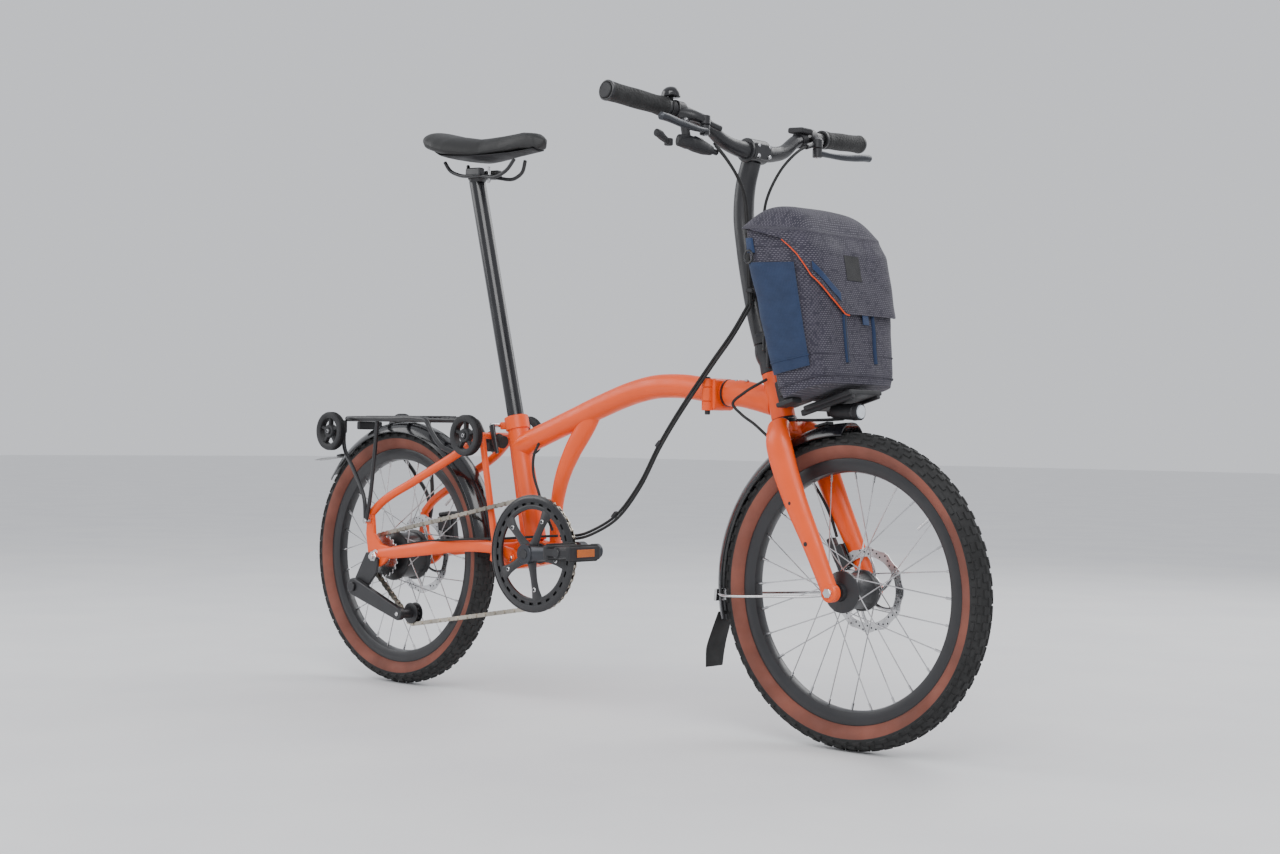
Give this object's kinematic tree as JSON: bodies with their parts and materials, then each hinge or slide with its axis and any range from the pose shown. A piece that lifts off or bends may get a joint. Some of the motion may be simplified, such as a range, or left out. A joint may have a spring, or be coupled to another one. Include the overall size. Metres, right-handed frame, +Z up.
{
  "type": "folding bicycle",
  "caption": "Small-wheeled folding bicycle with a curved hinged main tube, folding rear triangle with rack and rollers, folding handlebar stem and a front bag.",
  "frame": {"origin": "on the floor under the middle of the bicycle's bounding box, tyres standing on z = 0", "axes": "+X forward, +Y the rider's left, +Z up"},
  "size_m": [1.607, 0.6684, 1.0673],
  "materials": {
    "frame_paint": "satin orange paint",
    "black_parts": "satin black anodised or powder coated",
    "gloss_black": "gloss black",
    "crank_metal": "dark grey satin",
    "saddle_cover": "fine grained black cover",
    "black_plastic": "matte moulded",
    "rubber_parts": "matt",
    "tyre_rubber": "black tread, tan sidewall",
    "steel": "brushed",
    "chain_steel": "oiled, bronze tint",
    "bag_fabric": "grey purple woven cloth"
  },
  "bodies": {
    "frame_rear": {"seat_tube": "frame_paint", "main_tube_rear": "frame_paint", "brace_tube": "frame_paint", "bottom_bracket": "frame_paint"},
    "seat_lever": {"seat_clamp_lever": "black_parts"},
    "seatpost": {"seat_post": "gloss_black", "saddle_clamp": "black_parts", "saddle": "saddle_cover"},
    "crank": {"crankset": "crank_metal", "chainring": "black_parts"},
    "pedal_right": {"pedal_right": "black_plastic"},
    "pedal_left": {"pedal_left": "black_plastic"},
    "rear_frame": {"rear_swing_arm": "frame_paint", "rear_stays": "frame_paint", "suspension_block": "rubber_parts", "rear_mudguard": "gloss_black", "rear_rack": "black_parts", "tensioner_bracket": "black_parts", "chain": "chain_steel"},
    "rear_wheel": {"rear_tyre": "tyre_rubber", "rear_rim": "black_parts", "rear_hub": "black_parts", "rear_rotor": "steel"},
    "sprocket": {"sprocket": "steel"},
    "tensioner": {"tensioner_arm": "black_parts"},
    "jockey": {"jockey_pulley": "black_plastic"},
    "roller_rear_right": {"roller_rear_right": "black_plastic"},
    "roller_rear_left": {"roller_rear_left": "black_plastic"},
    "roller_front_right": {"roller_front_right": "black_plastic"},
    "roller_front_left": {"roller_front_left": "black_plastic"},
    "frame_front": {"main_tube_front": "frame_paint", "head_tube": "frame_paint", "carrier_block": "black_plastic", "cables_main": "rubber_parts"},
    "main_hinge_lever": {"main_hinge_lever": "black_parts"},
    "bag": {"bag_body": "bag_fabric", "bag_frame": "black_plastic"},
    "bag_flap": {"bag_flap": "bag_fabric"},
    "fork": {"fork": "frame_paint", "stem_base": "black_parts", "front_mudguard": "gloss_black", "front_light": "black_plastic", "front_caliper": "black_parts", "cable_front": "rubber_parts"},
    "front_wheel": {"front_tyre": "tyre_rubber", "front_rim": "black_parts", "front_hub": "black_parts", "front_rotor": "steel"},
    "stem": {"stem_post": "black_parts", "handlebar": "black_parts", "grip_right": "rubber_parts", "grip_left": "rubber_parts", "brake_body_right": "black_parts", "brake_body_left": "black_parts", "bell": "black_parts", "cables_upper": "rubber_parts"},
    "stem_clamp_lever": {"stem_clamp_lever": "black_parts"},
    "brake_lever_right": {"brake_lever_right": "black_parts"},
    "brake_lever_left": {"brake_lever_left": "black_parts"},
    "shift_lever": {"shift_lever": "black_plastic"}
  },
  "joints": [
    {"name": "seat_lever_turn", "type": "hinge", "parent": "frame_rear", "child": "seat_lever", "pos_m": [-0.2545, 0, 0.508], "axis": [0, -1, 0], "range_deg": [0, 80]},
    {"name": "seat_post_slide", "type": "slide", "parent": "frame_rear", "child": "seatpost", "axis": [-0.2507, 0, 0.9681], "range_m": [-0.2, 0]},
    {"name": "crank_spin", "type": "hinge", "parent": "frame_rear", "child": "crank", "pos_m": [-0.1135, 0, 0.277], "axis": [0, 1, 0], "continuous": true},
    {"name": "pedal_right_spin", "type": "hinge", "parent": "crank", "child": "pedal_right", "pos_m": [0.0565, -0.127, 0.291], "axis": [0, 1, 0], "continuous": true},
    {"name": "pedal_left_spin", "type": "hinge", "parent": "crank", "child": "pedal_left", "pos_m": [-0.2835, 0.127, 0.263], "axis": [0, 1, 0], "continuous": true},
    {"name": "rear_fold", "type": "hinge", "parent": "frame_rear", "child": "rear_frame", "pos_m": [-0.1885, 0, 0.264], "axis": [0, -1, 0], "range_deg": [0, 125], "deforming": ["chain"]},
    {"name": "rear_wheel_spin", "type": "hinge", "parent": "rear_frame", "child": "rear_wheel", "pos_m": [-0.5315, 0, 0.251], "axis": [0, 1, 0], "continuous": true},
    {"name": "sprocket_spin", "type": "hinge", "parent": "rear_frame", "child": "sprocket", "pos_m": [-0.5315, -0.05, 0.251], "axis": [0, 1, 0], "continuous": true},
    {"name": "tensioner_pivot", "type": "hinge", "parent": "rear_frame", "child": "tensioner", "pos_m": [-0.5775, -0.079, 0.19], "axis": [0, -1, 0], "range_deg": [0, 10], "stiffness_Nm_per_rad": 1.5, "springref_deg": -22.92, "deforming": ["chain"]},
    {"name": "jockey_spin", "type": "hinge", "parent": "tensioner", "child": "jockey", "pos_m": [-0.4435, -0.05, 0.146], "axis": [0, 1, 0], "continuous": true},
    {"name": "main_fold", "type": "hinge", "parent": "frame_rear", "child": "frame_front", "pos_m": [0.2745, -0.031, 0.562], "axis": [0, 0, 1], "range_deg": [-130, 0], "deforming": ["cables_main"]},
    {"name": "hinge_lever_turn", "type": "hinge", "parent": "frame_rear", "child": "main_hinge_lever", "pos_m": [0.2745, 0.028, 0.562], "axis": [0, 1, 0], "range_deg": [0, 70]},
    {"name": "bag_lift", "type": "slide", "parent": "frame_front", "child": "bag", "axis": [-0.2823, 0, 0.9593], "range_m": [0, 0.06]},
    {"name": "bag_flap_open", "type": "hinge", "parent": "bag", "child": "bag_flap", "pos_m": [0.3975, 0, 0.828], "axis": [0, -1, 0], "range_deg": [0, 60]},
    {"name": "steering", "type": "hinge", "parent": "frame_front", "child": "fork", "pos_m": [0.4095, 0, 0.528], "axis": [0.2838, 0, -0.9589], "range_deg": [-45, 45], "deforming": ["cable_front", "cables_main"]},
    {"name": "front_wheel_spin", "type": "hinge", "parent": "fork", "child": "front_wheel", "pos_m": [0.5525, 0, 0.251], "axis": [0, 1, 0], "continuous": true},
    {"name": "stem_fold", "type": "hinge", "parent": "fork", "child": "stem", "pos_m": [0.3555, 0.018, 0.644], "axis": [-0.7071, -0.7071, 0], "range_deg": [0, 130], "deforming": ["cables_upper"]},
    {"name": "stem_lever_turn", "type": "hinge", "parent": "fork", "child": "stem_clamp_lever", "pos_m": [0.3935, -0.02, 0.644], "axis": [0.7071, -0.7071, 0], "range_deg": [0, 60]},
    {"name": "brake_lever_right_pull", "type": "hinge", "parent": "stem", "child": "brake_lever_right", "pos_m": [0.3605, -0.148, 0.978], "axis": [0, 0, -1], "range_deg": [0, 14], "stiffness_Nm_per_rad": 1.2, "springref_deg": -8.59},
    {"name": "brake_lever_left_pull", "type": "hinge", "parent": "stem", "child": "brake_lever_left", "pos_m": [0.3605, 0.148, 0.978], "axis": [0, 0, 1], "range_deg": [0, 14], "stiffness_Nm_per_rad": 1.2, "springref_deg": -8.59},
    {"name": "shift_lever_push", "type": "hinge", "parent": "stem", "child": "shift_lever", "pos_m": [0.3425, -0.214, 0.952], "axis": [0, 0, 1], "range_deg": [0, 18], "stiffness_Nm_per_rad": 0.4, "springref_deg": -5.73},
    {"name": "roller_rear_right_spin", "type": "hinge", "parent": "rear_frame", "child": "roller_rear_right", "pos_m": [-0.6515, -0.091, 0.493], "axis": [0, 1, 0], "continuous": true},
    {"name": "roller_rear_left_spin", "type": "hinge", "parent": "rear_frame", "child": "roller_rear_left", "pos_m": [-0.6515, 0.091, 0.493], "axis": [0, 1, 0], "continuous": true},
    {"name": "roller_front_right_spin", "type": "hinge", "parent": "rear_frame", "child": "roller_front_right", "pos_m": [-0.2675, -0.079, 0.488], "axis": [0, 1, 0], "continuous": true},
    {"name": "roller_front_left_spin", "type": "hinge", "parent": "rear_frame", "child": "roller_front_left", "pos_m": [-0.2675, 0.079, 0.488], "axis": [0, 1, 0], "continuous": true}
  ],
  "couplings": [
    {"joint": "sprocket_spin", "follows": "crank_spin", "ratio": 2.3765},
    {"joint": "jockey_spin", "follows": "crank_spin", "ratio": 4.8095}
  ]
}
